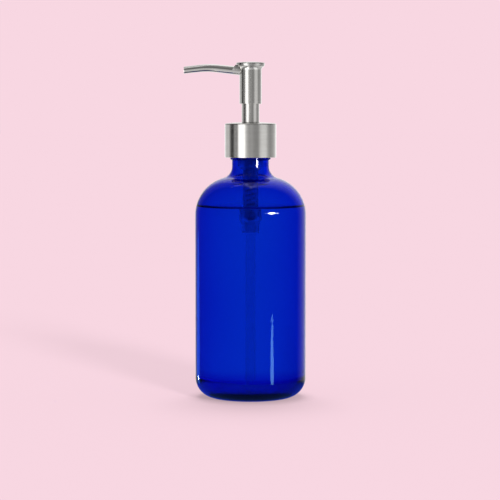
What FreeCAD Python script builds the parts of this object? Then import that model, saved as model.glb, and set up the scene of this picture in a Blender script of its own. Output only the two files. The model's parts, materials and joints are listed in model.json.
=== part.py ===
import FreeCAD, Part
import math
import os
import types

import Sketcher

# A round-shouldered glass bottle with a screw-on metal lotion pump.
# Frame: +Z up, origin on the bottle's axis in the plane of its resting ring, spout towards -X.
# All lengths are in millimetres.

Vector = FreeCAD.Vector
Rotation = FreeCAD.Rotation
Placement = FreeCAD.Placement

DIMENSIONS = [
    # the bottle's glass
    ("body_radius", 37.5, "bottle, outside of the body"),
    ("wall", 2.8, "bottle, thickness of the glass wall"),
    ("heel_radius", 13.5, "bottle, outside curve from the body to the base"),
    ("ring_inner", 21.0, "bottle, inner edge of the ring that it rests on"),
    ("pushup_rise", 3.0, "bottle, rise of the hollow under the base"),
    ("floor_rise", 8.4, "bottle, height of the inside floor at its middle"),
    ("floor_edge", 6.4, "bottle, height of the inside floor at its edge"),
    ("inner_heel", 9.0, "bottle, inside curve from the wall to the floor"),
    ("shoulder_start", 124.0, "bottle, height where the shoulder begins"),
    ("shoulder_radius", 25.9, "bottle, outside curve of the shoulder"),
    ("neck_radius", 12.5, "bottle, outside of the neck and root of its thread"),
    ("neck_fillet", 8.0, "bottle, outside curve from the shoulder to the neck"),
    ("bead_radius", 13.65, "bottle, bead under the cap"),
    ("bead_height", 161.1, "bottle, lower edge of the bead"),
    ("bead_width", 1.8, "bottle, height of the bead with its slopes"),
    ("bottle_height", 171.0, "bottle, top of the finish"),
    ("lip_round", 0.8, "bottle, rounding of the lip"),
    ("thread_pitch", 4.2333, "screw thread, rise in one turn"),
    ("thread_turns", 1.0, "screw thread, turns on the neck"),
    ("thread_start", 164.9, "screw thread, height where the neck's thread begins"),
    ("thread_crest", 13.7, "screw thread, crest radius on the neck"),
    ("thread_root_width", 2.2, "screw thread, width at the root on the neck"),
    ("thread_crest_width", 1.1, "screw thread, width at the crest"),
    # the liquid
    ("fill_gap", 0.05, "liquid, gap to everything around it"),
    ("fill_level", 129.0, "liquid, height of its surface"),
    # the pump's fixed body
    ("gasket_thickness", 1.0, "gasket, thickness"),
    ("gasket_inner", 9.2, "gasket, inner radius"),
    ("gasket_outer", 12.3, "gasket, outer radius"),
    ("flange_radius", 12.6, "housing, radius of its flange"),
    ("flange_thickness", 1.6, "housing, thickness of its flange"),
    ("throat_radius", 8.6, "housing, outside of its wide upper part"),
    ("throat_bore", 6.9, "housing, inside of its wide upper part"),
    ("throat_bottom", 157.2, "housing, lower end of the wide upper part outside"),
    ("throat_step", 159.0, "housing, height of the step inside"),
    ("barrel_radius", 5.2, "housing, outside of the pump barrel"),
    ("barrel_bore", 4.3, "housing, bore that the piston runs in"),
    ("barrel_top", 153.8, "housing, height where the barrel's outside widens"),
    ("barrel_bottom", 121.0, "housing, lower end of the barrel outside"),
    ("spigot_top", 118.5, "housing, top of the dip tube's spigot outside"),
    ("spigot_radius", 4.1, "housing, outside of the dip tube's spigot"),
    ("spigot_bottom", 112.7, "housing, lower end of the spigot"),
    ("inlet_radius", 1.7, "housing, inlet hole above the dip tube"),
    ("inlet_bottom", 120.0, "housing, lower end of the inlet hole"),
    ("seat_bottom", 121.5, "housing, lower edge of the inlet valve's conical seat"),
    ("seat_depth", 1.6, "housing, depth and width of the conical seat"),
    ("vent_radius", 0.5, "housing, hole that lets air into the bottle"),
    ("vent_height", 160.4, "housing, height of the air hole"),
    ("tube_radius", 2.5, "dip tube, outside"),
    ("tube_bore", 1.8, "dip tube, inside"),
    ("tube_bottom", 9.0, "dip tube, lowest point of its slanted end"),
    ("tube_slant", 4.5, "dip tube, height of its slanted cut"),
    ("inlet_ball_radius", 2.5, "inlet valve, radius of the ball"),
    ("seat_ring_bottom", 127.4, "spring seat, underside of its ring"),
    ("seat_ring_top", 130.5, "spring seat, top of its ring"),
    ("seat_ring_hole", 1.9, "spring seat, radius of its hole"),
    ("seat_leg_inner", 3.3, "spring seat, distance of a leg's inner face from the axis"),
    ("seat_leg_outer", 4.1, "spring seat, distance of a leg's outer face from the axis"),
    ("seat_leg_width", 1.8, "spring seat, width of a leg"),
    ("slide_gap", 0.05, "gap between the barrel's bore and what sits in it"),
    ("spring_radius", 3.2, "return spring, radius of its coil"),
    ("wire_radius", 0.4, "return spring, radius of its wire"),
    ("spring_turns", 6.5, "return spring, number of turns"),
    # the guide that the stem slides in, and its metal sleeve
    ("guide_plug", 6.8, "stem guide, radius inside the housing"),
    ("guide_bottom", 161.0, "stem guide, lower end"),
    ("guide_hub", 8.8, "stem guide, radius of the hub that the closure turns on"),
    ("guide_disc", 11.0, "stem guide, radius of the disc over the closure"),
    ("guide_disc_bottom", 175.45, "stem guide, underside of the disc"),
    ("guide_disc_top", 176.95, "stem guide, top of the disc"),
    ("guide_neck", 5.6, "stem guide, radius of its neck"),
    ("guide_bore", 3.58, "stem guide, bore around the stem"),
    ("sleeve_radius", 6.0, "neck sleeve, outside"),
    ("sleeve_top", 201.0, "neck sleeve, top"),
    ("sleeve_lip", 0.4, "neck sleeve, thickness of its turned-in top"),
    ("sleeve_hole", 3.75, "neck sleeve, hole in its top"),
    # the closure
    ("closure_radius", 16.9, "closure insert, outside"),
    ("closure_bore", 14.15, "closure insert, bore around the neck"),
    ("closure_bottom", 163.2, "closure insert, lower edge"),
    ("closure_plate", 173.62, "closure insert, underside of its plate"),
    ("closure_plate_top", 175.4, "closure insert, top of its plate"),
    ("closure_hole", 9.0, "closure insert, hole around the guide's hub"),
    ("closure_rim_inner", 15.4, "closure insert, inside of its upper rim"),
    ("closure_rim_top", 184.8, "closure insert, top of its upper rim"),
    ("closure_crest", 12.85, "closure insert, crest radius of its thread"),
    ("closure_thread_width", 2.6, "closure insert, width of its thread at the root"),
    ("closure_thread_angle", 160.0, "closure insert, angle where its thread begins, in degrees"),
    ("groove_count", 36, "closure insert, number of grooves outside"),
    ("groove_depth", 0.7, "closure insert, depth of a groove"),
    ("groove_width", 1.2, "closure insert, width of a groove"),
    ("collar_radius", 17.4, "collar shell, outside"),
    ("sheet_metal", 0.5, "thickness of the metal shells"),
    ("collar_bottom", 162.8, "collar shell, lower edge"),
    ("collar_top", 185.7, "collar shell, height of its crown's outer edge"),
    ("collar_crown", 186.6, "collar shell, height of its crown at the hole"),
    ("collar_hole", 6.15, "collar shell, hole around the sleeve"),
    ("collar_round", 0.8, "collar shell, rounding of its top edge"),
    # the moving stem and piston
    ("stem_radius", 3.5, "stem, outside"),
    ("stem_bore", 1.8, "stem, bore"),
    ("stem_top", 218.0, "stem, top, where the outlet ball sits"),
    ("stem_spigot", 2.6, "stem, radius of the spigot that carries the piston"),
    ("stem_bottom", 150.0, "stem, lower end of the spigot"),
    ("seal_bottom", 151.52, "piston seal, lower edge"),
    ("seal_clearance", 0.03, "piston seal, radial gap to the barrel"),
    ("seal_lip_height", 1.6, "piston seal, height of each of its lips"),
    ("seal_waist", 3.7, "piston seal, radius between its lips"),
    ("retainer_radius", 4.0, "piston retainer, outside"),
    ("retainer_bottom", 149.0, "piston retainer, lower face"),
    # the head
    ("outlet_ball_radius", 2.0, "outlet valve, radius of the ball"),
    ("core_radius", 6.9, "head core, outside"),
    ("core_bottom", 213.5, "head core, lower end"),
    ("core_top", 224.5, "head core, top"),
    ("core_cavity", 2.8, "head core, radius of the outlet valve's chamber"),
    ("core_cavity_top", 222.8, "head core, top of the outlet valve's chamber"),
    ("press_gap", 0.02, "gap between pressed pieces"),
    ("ring_bottom", 199.2, "head guide ring, lower face"),
    ("ring_height", 4.0, "head guide ring, height"),
    ("ring_bore", 6.1, "head guide ring, bore around the sleeve"),
    ("head_radius", 7.45, "head shell, outside"),
    ("head_bottom", 198.9, "head shell, lower edge"),
    ("flare_start", 221.2, "head shell, height where it begins to flare"),
    ("flare_radius", 9.3, "head shell, radius at its top"),
    ("flare_edge", 224.1, "head shell, lower edge of its rim"),
    ("head_top", 224.58, "head shell, top"),
    ("cap_radius", 9.65, "head cap, outside"),
    ("cap_bottom", 224.6, "head cap, underside"),
    ("cap_edge", 226.6, "head cap, height of its top at the edge"),
    ("cap_crown", 227.2, "head cap, height of its top at the middle"),
    ("cap_round", 0.7, "head cap, rounding of its edges"),
    # the spout
    ("spout_root_x", 4.6, "spout, distance of its root from the axis"),
    ("spout_bend_x", 28.7, "spout, distance of its bend from the axis"),
    ("spout_bend_z", 223.35, "spout, height where its two straight runs would meet"),
    ("spout_tip_x", 45.0, "spout, distance of its tip from the axis"),
    ("spout_rise", 6.0, "spout, slope of the run from the head, in degrees"),
    ("spout_fall", 6.2, "spout, slope of the run to the tip, in degrees"),
    ("spout_bend_radius", 55.0, "spout, radius of its bend"),
    ("spout_root_radius", 2.9, "spout, outside at the root"),
    ("spout_mid_radius", 2.6, "spout, outside at the bend"),
    ("spout_tip_radius", 2.4, "spout, outside at the tip"),
    ("spout_bore", 1.95, "spout, inside of the metal tube"),
    ("liner_radius", 1.93, "spout liner, outside"),
    ("liner_bore", 1.3, "spout liner, inside"),
    ("liner_recess", 1.0, "spout liner, how far its end lies inside the tip"),
    ("fit_gap", 0.1, "gap around the spout where it passes through the head"),
    ("saddle_width", 7.0, "spout saddle, width across the spout"),
    ("saddle_reach", 12.2, "spout saddle, distance of its tip from the axis"),
    ("saddle_bottom", 221.4, "spout saddle, height of its lower edge"),
    ("saddle_tip", 0.8, "spout saddle, height of its upright tip"),
    ("saddle_top", 225.1, "spout saddle, height of its upper corner"),
    ("saddle_shoulder", 10.2, "spout saddle, distance of its upper corner from the axis"),
]


class Size:
    """A number together with the sheet expression that gives it."""

    def __init__(self, value, text=None):
        self.value = float(value)
        self.text = repr(float(value)) if text is None else text

    def __add__(self, other):
        other = as_size(other)
        return Size(self.value + other.value, f"({self.text} + {other.text})")

    def __sub__(self, other):
        other = as_size(other)
        return Size(self.value - other.value, f"({self.text} - {other.text})")

    def __rsub__(self, other):
        return as_size(other) - self

    def __mul__(self, other):
        other = as_size(other)
        return Size(self.value * other.value, f"({self.text} * {other.text})")

    def __truediv__(self, other):
        other = as_size(other)
        return Size(self.value / other.value, f"({self.text} / {other.text})")

    def __neg__(self):
        return Size(-self.value, f"(0 - {self.text})")

    __radd__ = __add__
    __rmul__ = __mul__


def as_size(item):
    return item if isinstance(item, Size) else Size(item)


def root(size):
    return Size(math.sqrt(size.value), f"sqrt({size.text})")


def sine(angle):
    return Size(math.sin(math.radians(angle.value)), f"sin({angle.text})")


def cosine(angle):
    return Size(math.cos(math.radians(angle.value)), f"cos({angle.text})")


def tangent(angle):
    return Size(math.tan(math.radians(angle.value)), f"tan({angle.text})")


def bulge(width, rise):
    """The radius of an arc that rises by rise at the middle or end of a run of width."""
    return (width * width + rise * rise) / (rise * 2)


def make_sheet(doc):
    """Write the driving dimensions to a sheet and return them as sizes, by alias."""
    sheet = doc.addObject("Spreadsheet::Sheet", "Dims")
    sizes = {}
    for row, (alias, value, meaning) in enumerate(DIMENSIONS, start=1):
        sheet.set(f"A{row}", meaning)
        sheet.set(f"B{row}", str(value))
        sheet.setAlias(f"B{row}", alias)
        sizes[alias] = Size(value, f"Dims.{alias}")
    doc.recompute()
    return types.SimpleNamespace(**sizes)


def bind(thing, place, size):
    thing.setExpression(place, as_size(size).text)


def origin_plane(body, role):
    return [feature for feature in body.Origin.OriginFeatures if feature.Role == role][0]


def new_sketch(body, name, plane):
    sketch = body.newObject("Sketcher::SketchObject", name)
    sketch.AttachmentSupport = (origin_plane(body, plane), [""])
    sketch.MapMode = "FlatFace"
    return sketch


def arc_between(start, end, radius):
    """An arc with its centre to the left of the way from start to end, or to the right if radius < 0."""
    chord = end - start
    left = Vector(-chord.y, chord.x, 0).normalize()
    reach = math.copysign(math.sqrt(radius ** 2 - (chord.Length / 2) ** 2), radius)
    centre = (start + end) * 0.5 + left * reach
    first, last = (start, end) if radius > 0 else (end, start)
    from_angle = math.atan2(first.y - centre.y, first.x - centre.x)
    to_angle = math.atan2(last.y - centre.y, last.x - centre.x)
    if to_angle < from_angle:
        to_angle += 2 * math.pi
    return Part.ArcOfCircle(Part.Circle(centre, Vector(0, 0, 1), abs(radius)), from_angle, to_angle)


def fix_coordinate(sketch, kind, edge, vertex, size):
    """Hold one coordinate of a vertex at a size measured from the sketch's origin."""
    if size.value == 0:
        axis = -2 if kind == "DistanceX" else -1
        sketch.addConstraint(Sketcher.Constraint("PointOnObject", edge, vertex, axis))
        return
    if size.value > 0:
        ends = (-1, 1, edge, vertex)
    else:
        ends = (edge, vertex, -1, 1)
        size = -size
    index = sketch.addConstraint(Sketcher.Constraint(kind, *ends, size.value))
    bind(sketch, f"Constraints[{index}]", size)


def draw_outline(body, name, outline, plane="XZ_Plane"):
    """Draw a closed outline of (x, y) corners on one of the body's planes.

    A corner may have a radius as its third entry, which makes the edge to the next corner an arc,
    as arc_between draws it. Every corner and radius is bound to its own sheet expression.
    """
    outline = [tuple(as_size(entry) for entry in corner) for corner in outline]
    sketch = new_sketch(body, name, plane)
    points = [Vector(corner[0].value, corner[1].value, 0) for corner in outline]
    count = len(outline)
    ends = []
    for index, corner in enumerate(outline):
        start, end = points[index], points[(index + 1) % count]
        if len(corner) == 3:
            sketch.addGeometry(arc_between(start, end, corner[2].value), False)
            ends.append((1, 2) if corner[2].value > 0 else (2, 1))
        else:
            sketch.addGeometry(Part.LineSegment(start, end), False)
            ends.append((1, 2))
    for index in range(count):
        following = (index + 1) % count
        sketch.addConstraint(
            Sketcher.Constraint("Coincident", index, ends[index][1], following, ends[following][0]))
    for index, corner in enumerate(outline):
        fix_coordinate(sketch, "DistanceX", index, ends[index][0], corner[0])
        fix_coordinate(sketch, "DistanceY", index, ends[index][0], corner[1])
        if len(corner) == 3:
            radius = corner[2] if corner[2].value > 0 else -corner[2]
            constraint = sketch.addConstraint(Sketcher.Constraint("Radius", index, radius.value))
            bind(sketch, f"Constraints[{constraint}]", radius)
    return sketch


def draw_circle(body, name, plane, x, y, radius):
    sketch = new_sketch(body, name, plane)
    x, y, radius = as_size(x), as_size(y), as_size(radius)
    circle = Part.Circle(Vector(x.value, y.value, 0), Vector(0, 0, 1), radius.value)
    sketch.addGeometry(circle, False)
    fix_coordinate(sketch, "DistanceX", 0, 3, x)
    fix_coordinate(sketch, "DistanceY", 0, 3, y)
    constraint = sketch.addConstraint(Sketcher.Constraint("Radius", 0, radius.value))
    bind(sketch, f"Constraints[{constraint}]", radius)
    return sketch


def new_body(doc, label):
    body = doc.addObject("PartDesign::Body", label)
    body.Label = label
    return body


def turned(doc, label, outline):
    """A body turned about the Z axis from a closed outline of (radius, height) corners."""
    body = new_body(doc, label)
    sketch = draw_outline(body, label + "_profile", outline)
    turning = body.newObject("PartDesign::Revolution", label + "_turning")
    turning.Profile = sketch
    turning.ReferenceAxis = (sketch, ["V_Axis"])
    turning.Angle = 360
    return body


def wind(body, sketch, pitch, turns):
    """Sweep a sketch up a right-handed helix about the Z axis and join it to the body."""
    helix = body.newObject("PartDesign::AdditiveHelix", body.Label + "_helix")
    helix.Profile = sketch
    helix.ReferenceAxis = (sketch, ["V_Axis"])
    helix.Mode = "pitch-turns-angle"
    bind(helix, "Pitch", pitch)
    bind(helix, "Turns", turns)


def checked_cut(body, cut):
    """Recompute a pocket and stop if it took nothing away."""
    before = cut.BaseFeature.Shape.Volume
    body.Document.recompute()
    if cut.Shape.Volume >= before - 1e-6:
        raise RuntimeError(cut.Name + " cuts nothing")


def make_bottle(doc, d):
    """Moulded glass: ring base with a push-up, straight body, round shoulder, neck with bead and thread."""
    shoulder_x = d.body_radius - d.shoulder_radius
    fillet_x = d.neck_radius + d.neck_fillet
    between = d.shoulder_radius + d.neck_fillet
    fillet_rise = root(between * between - (fillet_x - shoulder_x) * (fillet_x - shoulder_x))
    fillet_z = d.shoulder_start + fillet_rise
    inner_shoulder = d.shoulder_radius - d.wall
    inner_fillet = d.neck_fillet + d.wall
    inner_body = d.body_radius - d.wall
    neck_bore = d.neck_radius - d.wall
    floor_bulge = bulge(inner_body - d.inner_heel, d.floor_rise - d.floor_edge)
    bead_slope = 0.5
    lip_inner = 0.6

    def on_joint(radius):
        """The point where a shoulder arc of this radius meets the neck's fillet."""
        share = radius / between
        return shoulder_x + (fillet_x - shoulder_x) * share, d.shoulder_start + fillet_rise * share

    outline = [
        (0, d.pushup_rise, -bulge(d.ring_inner, d.pushup_rise)),
        (d.ring_inner, 0),
        (d.body_radius - d.heel_radius, 0, d.heel_radius),
        (d.body_radius, d.heel_radius),
        (d.body_radius, d.shoulder_start, d.shoulder_radius),
        (*on_joint(d.shoulder_radius), -d.neck_fillet),
        (d.neck_radius, fillet_z),
        (d.neck_radius, d.bead_height),
        (d.bead_radius, d.bead_height + bead_slope),
        (d.bead_radius, d.bead_height + d.bead_width - bead_slope),
        (d.neck_radius, d.bead_height + d.bead_width),
        (d.neck_radius, d.bottle_height - d.lip_round, d.lip_round),
        (d.neck_radius - d.lip_round, d.bottle_height),
        (neck_bore + lip_inner, d.bottle_height, Size(lip_inner)),
        (neck_bore, d.bottle_height - lip_inner),
        (neck_bore, fillet_z, inner_fillet),
        (*on_joint(inner_shoulder), -inner_shoulder),
        (inner_body, d.shoulder_start),
        (inner_body, d.floor_edge + d.inner_heel, -d.inner_heel),
        (inner_body - d.inner_heel, d.floor_edge, floor_bulge),
        (0, d.floor_rise),
    ]
    body = turned(doc, "bottle", outline)
    bury = 0.3
    ridge = draw_outline(body, "bottle_thread", [
        (d.neck_radius - bury, d.thread_start - d.thread_root_width / 2),
        (d.thread_crest, d.thread_start - d.thread_crest_width / 2),
        (d.thread_crest, d.thread_start + d.thread_crest_width / 2),
        (d.neck_radius - bury, d.thread_start + d.thread_root_width / 2),
    ])
    wind(body, ridge, d.thread_pitch, d.thread_turns)
    return body


def make_soap_fill(doc, d):
    """The liquid: it fills the inside up to its level, around the dip tube and the pump barrel."""
    gap = d.fill_gap
    wall = d.body_radius - d.wall - gap
    corner = d.inner_heel - gap
    shoulder_x = d.body_radius - d.shoulder_radius
    shoulder = d.shoulder_radius - d.wall - gap
    rise = d.fill_level - d.shoulder_start
    floor_bulge = bulge(wall - corner, d.floor_rise - d.floor_edge)
    outline = [
        (0, d.floor_rise + gap, -floor_bulge),
        (wall - corner, d.floor_edge + gap, corner),
        (wall, d.floor_edge + d.inner_heel),
        (wall, d.shoulder_start, shoulder),
        (shoulder_x + root(shoulder * shoulder - rise * rise), d.fill_level),
        (d.barrel_radius + gap, d.fill_level),
        (d.barrel_radius + gap, d.barrel_bottom - gap),
        (d.spigot_radius + gap, d.spigot_top - gap),
        (d.spigot_radius + gap, d.spigot_bottom - gap),
        (d.tube_radius + gap, d.spigot_bottom - gap),
        (d.tube_radius + gap, d.tube_bottom - gap * 2),
        (0, d.tube_bottom - gap * 2),
    ]
    return turned(doc, "soap_fill", outline)


def make_gasket(doc, d):
    """Flat ring between the bottle's lip and the housing's flange."""
    top = d.bottle_height + d.gasket_thickness
    return turned(doc, "gasket", [
        (d.gasket_inner, d.bottle_height),
        (d.gasket_outer, d.bottle_height),
        (d.gasket_outer, top),
        (d.gasket_inner, top),
    ])


def make_pump_housing(doc, d):
    """Stepped barrel that hangs from its flange: air hole, piston bore, valve seat, dip tube spigot."""
    flange_z = d.bottle_height + d.gasket_thickness
    top = flange_z + d.flange_thickness
    socket = d.tube_radius + d.press_gap
    body = turned(doc, "pump_housing", [
        (d.flange_radius, flange_z),
        (d.flange_radius, top),
        (d.throat_bore, top),
        (d.throat_bore, d.throat_step),
        (d.barrel_bore, d.throat_step),
        (d.barrel_bore, d.seat_bottom + d.seat_depth),
        (d.inlet_radius + d.seat_depth, d.seat_bottom + d.seat_depth),
        (d.inlet_radius, d.seat_bottom),
        (d.inlet_radius, d.inlet_bottom),
        (socket, d.inlet_bottom),
        (socket, d.spigot_bottom),
        (d.spigot_radius, d.spigot_bottom),
        (d.spigot_radius, d.spigot_top),
        (d.barrel_radius, d.barrel_bottom),
        (d.barrel_radius, d.barrel_top),
        (d.throat_radius, d.throat_bottom),
        (d.throat_radius, flange_z),
    ])
    doc.recompute()
    vent = body.newObject("PartDesign::Pocket", "pump_housing_vent")
    vent.Profile = draw_circle(body, "pump_housing_vent_circle", "YZ_Plane", 0, d.vent_height, d.vent_radius)
    vent.Type = "Length"
    bind(vent, "Length", d.throat_radius + 1)
    checked_cut(body, vent)
    return body


def make_dip_tube(doc, d):
    """Straight plastic tube, cut slantwise at its lower end so that it can't seal on the floor."""
    body = turned(doc, "dip_tube", [
        (d.tube_bore, d.tube_bottom),
        (d.tube_radius, d.tube_bottom),
        (d.tube_radius, d.inlet_bottom),
        (d.tube_bore, d.inlet_bottom),
    ])
    doc.recompute()
    reach = d.tube_radius + 1
    slope = d.tube_slant / (d.tube_radius * 2)
    slant = body.newObject("PartDesign::Pocket", "dip_tube_slant")
    slant.Profile = draw_outline(body, "dip_tube_slant_outline", [
        (-d.tube_radius, d.tube_bottom),
        (-d.tube_radius, d.tube_bottom - 1),
        (reach, d.tube_bottom - 1),
        (reach, d.tube_bottom + slope * (d.tube_radius + reach)),
    ])
    slant.Type = "ThroughAll"
    slant.Midplane = True
    checked_cut(body, slant)
    return body


def make_ball(doc, label, radius, height):
    """A valve ball on the axis."""
    ball = doc.addObject("Part::Sphere", label)
    ball.Label = label
    bind(ball, "Radius", radius)
    ball.Placement = Placement(Vector(0, 0, height.value), Rotation())
    bind(ball, "Placement.Base.z", height)
    return ball


def make_inlet_ball(doc, d):
    """Steel ball resting on the housing's 45 degree seat."""
    lift_off = 0.01
    contact = d.inlet_ball_radius * math.sqrt(2)
    height = d.seat_bottom - d.inlet_radius + contact + lift_off
    return make_ball(doc, "inlet_ball", d.inlet_ball_radius, height)


def make_spring_seat(doc, d):
    """Ring that the spring stands on, with three legs that stand on the step around the valve seat."""
    outer = d.barrel_bore - d.slide_gap
    body = turned(doc, "spring_seat", [
        (d.seat_ring_hole, d.seat_ring_bottom),
        (outer, d.seat_ring_bottom),
        (outer, d.seat_ring_top),
        (d.seat_ring_hole, d.seat_ring_top),
    ])
    foot = d.seat_bottom + d.seat_depth
    half = d.seat_leg_width / 2
    outline = draw_outline(body, "spring_seat_leg_outline", [
        (d.seat_leg_inner, -half),
        (d.seat_leg_outer, -half),
        (d.seat_leg_outer, half),
        (d.seat_leg_inner, half),
    ], "XY_Plane")
    outline.AttachmentOffset = Placement(Vector(0, 0, foot.value), Rotation())
    bind(outline, "AttachmentOffset.Base.z", foot)
    leg = body.newObject("PartDesign::Pad", "spring_seat_leg")
    leg.Profile = outline
    bind(leg, "Length", d.seat_ring_bottom - foot + 0.5)
    doc.recompute()
    legs = body.newObject("PartDesign::PolarPattern", "spring_seat_legs")
    legs.Originals = [leg]
    legs.Axis = (outline, ["N_Axis"])
    legs.Angle = 360
    legs.Occurrences = 3
    body.Tip = legs
    return body


def make_return_spring(doc, d):
    """Helical compression spring between the seat and the piston's retainer."""
    body = new_body(doc, "return_spring")
    start = d.seat_ring_top + d.wire_radius
    wire = draw_circle(body, "return_spring_wire", "XZ_Plane", d.spring_radius, start, d.wire_radius)
    free = d.retainer_bottom - d.seat_ring_top - d.wire_radius * 2
    wind(body, wire, free / d.spring_turns, d.spring_turns)
    return body


def make_stem_guide(doc, d):
    """Guide for the stem: plug in the housing, hub and disc that hold the closure, and a tall neck."""
    flange_top = d.bottle_height + d.gasket_thickness + d.flange_thickness
    top = d.sleeve_top - d.sleeve_lip
    return turned(doc, "stem_guide", [
        (d.guide_bore, d.guide_bottom),
        (d.guide_plug, d.guide_bottom),
        (d.guide_plug, flange_top),
        (d.guide_hub, flange_top),
        (d.guide_hub, d.guide_disc_bottom),
        (d.guide_disc, d.guide_disc_bottom),
        (d.guide_disc, d.guide_disc_top),
        (d.guide_neck, d.guide_disc_top),
        (d.guide_neck, top),
        (d.guide_bore, top),
    ])


def make_neck_sleeve(doc, d):
    """Thin metal tube over the guide's neck, turned in at the top."""
    inner = d.guide_neck + d.press_gap
    lip = d.sleeve_top - d.sleeve_lip + d.press_gap
    return turned(doc, "neck_sleeve", [
        (inner, d.guide_disc_top),
        (d.sleeve_radius, d.guide_disc_top),
        (d.sleeve_radius, d.sleeve_top - 0.3, Size(0.3)),
        (d.sleeve_radius - 0.3, d.sleeve_top),
        (d.sleeve_hole, d.sleeve_top),
        (d.sleeve_hole, lip),
        (inner, lip),
    ])


def make_closure_insert(doc, d):
    """Plastic screw cap inside the metal collar: threaded skirt, plate, and a rim that fills the collar."""
    body = turned(doc, "closure_insert", [
        (d.closure_bore, d.closure_bottom),
        (d.closure_radius, d.closure_bottom),
        (d.closure_radius, d.closure_rim_top),
        (d.closure_rim_inner, d.closure_rim_top),
        (d.closure_rim_inner, d.closure_plate_top),
        (d.closure_hole, d.closure_plate_top),
        (d.closure_hole, d.closure_plate),
        (d.closure_bore, d.closure_plate),
    ])
    doc.recompute()
    half = d.groove_width / 2
    reach = d.closure_radius + 1
    outline = draw_outline(body, "closure_insert_groove_outline", [
        (d.closure_radius - d.groove_depth, -half),
        (reach, -half),
        (reach, half),
        (d.closure_radius - d.groove_depth, half),
    ], "XY_Plane")
    groove = body.newObject("PartDesign::Pocket", "closure_insert_groove")
    groove.Profile = outline
    groove.Type = "ThroughAll"
    groove.Reversed = True
    checked_cut(body, groove)
    grooves = body.newObject("PartDesign::PolarPattern", "closure_insert_grooves")
    grooves.Originals = [groove]
    grooves.Axis = (outline, ["N_Axis"])
    grooves.Angle = 360
    bind(grooves, "Occurrences", d.groove_count)
    body.Tip = grooves
    doc.recompute()
    turn_offset = d.closure_thread_angle / 360
    middle = d.thread_start + d.thread_pitch * (turn_offset - 0.5)
    bury = 0.3
    ridge = draw_outline(body, "closure_insert_thread", [
        (d.closure_bore + bury, middle - d.closure_thread_width / 2),
        (d.closure_bore + bury, middle + d.closure_thread_width / 2),
        (d.closure_crest, middle + d.thread_crest_width / 2),
        (d.closure_crest, middle - d.thread_crest_width / 2),
    ])
    start = Rotation(Vector(0, 1, 0), d.closure_thread_angle.value)
    ridge.AttachmentOffset = Placement(Vector(0, 0, 0), start)
    wind(body, ridge, d.thread_pitch, d.thread_turns)
    return body


def make_collar_shell(doc, d):
    """Drawn metal cup over the closure: straight wall, rounded edge, slightly domed crown with a hole."""
    inner = d.collar_radius - d.sheet_metal
    inner_round = d.collar_round - d.sheet_metal
    edge = d.collar_radius - d.collar_round
    crown_rise = d.collar_crown - d.collar_top
    crown_run = edge - d.collar_hole
    crown = bulge(crown_run, crown_rise)
    return turned(doc, "collar_shell", [
        (inner, d.collar_bottom),
        (d.collar_radius, d.collar_bottom),
        (d.collar_radius, d.collar_top - d.collar_round, d.collar_round),
        (edge, d.collar_top, crown),
        (d.collar_hole, d.collar_crown),
        (d.collar_hole, d.collar_crown - d.sheet_metal, -crown),
        (edge, d.collar_top - d.sheet_metal, -inner_round),
        (inner, d.collar_top - d.collar_round),
    ])


def make_piston_seal(doc, d):
    """Soft piston with two lips that wipe the barrel."""
    lip = d.barrel_bore - d.seal_clearance
    bore = d.stem_spigot + d.press_gap
    top = d.throat_step - d.press_gap
    slope = 0.5
    return turned(doc, "piston_seal", [
        (bore, d.seal_bottom),
        (lip, d.seal_bottom),
        (lip, d.seal_bottom + d.seal_lip_height),
        (d.seal_waist, d.seal_bottom + d.seal_lip_height + slope),
        (d.seal_waist, top - d.seal_lip_height - slope),
        (lip, top - d.seal_lip_height),
        (lip, top),
        (bore, top),
    ])


def make_piston_retainer(doc, d):
    """Cup pressed on the stem's end: it holds the seal from below and takes the spring."""
    return turned(doc, "piston_retainer", [
        (d.stem_bore, d.retainer_bottom),
        (d.retainer_radius, d.retainer_bottom),
        (d.retainer_radius, d.seal_bottom - d.press_gap),
        (d.stem_spigot + d.press_gap, d.seal_bottom - d.press_gap),
        (d.stem_spigot + d.press_gap, d.stem_bottom - d.press_gap),
        (d.stem_bore, d.stem_bottom - d.press_gap),
    ])


def make_stem(doc, d):
    """Hollow plunger stem, with a spigot for the piston at its lower end."""
    return turned(doc, "stem", [
        (d.stem_bore, d.stem_bottom),
        (d.stem_spigot, d.stem_bottom),
        (d.stem_spigot, d.throat_step),
        (d.stem_radius, d.throat_step),
        (d.stem_radius, d.stem_top),
        (d.stem_bore, d.stem_top),
    ])


def make_outlet_ball(doc, d):
    """Steel ball resting on the rim of the stem's bore."""
    lift_off = 0.01
    reach = root(d.outlet_ball_radius * d.outlet_ball_radius - d.stem_bore * d.stem_bore)
    return make_ball(doc, "outlet_ball", d.outlet_ball_radius, d.stem_top + reach + lift_off)


class SpoutPath:
    """The spout's centre line in the XZ plane: a rising run, a bend and a falling run."""

    def __init__(self, d):
        self.bend = d.spout_bend_radius
        self.turn = d.spout_rise + d.spout_fall
        self.reach = self.bend * tangent(self.turn / 2)
        self.out = (-cosine(d.spout_rise), sine(d.spout_rise))
        self.away = (-cosine(d.spout_fall), -sine(d.spout_fall))
        self.first_run = (d.spout_bend_x - d.spout_root_x) / cosine(d.spout_rise) - self.reach
        self.last_run = (d.spout_tip_x - d.spout_bend_x) / cosine(d.spout_fall) - self.reach
        corner = (-d.spout_bend_x, d.spout_bend_z)
        self.bend_start = self.along(corner, self.out, -self.reach)
        self.bend_end = self.along(corner, self.away, self.reach)
        self.root = self.along(self.bend_start, self.out, -self.first_run)
        self.centre = (self.bend_start[0] - self.out[1] * self.bend,
                       self.bend_start[1] + self.out[0] * self.bend)

    @staticmethod
    def along(point, way, length):
        return point[0] + way[0] * length, point[1] + way[1] * length


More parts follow.
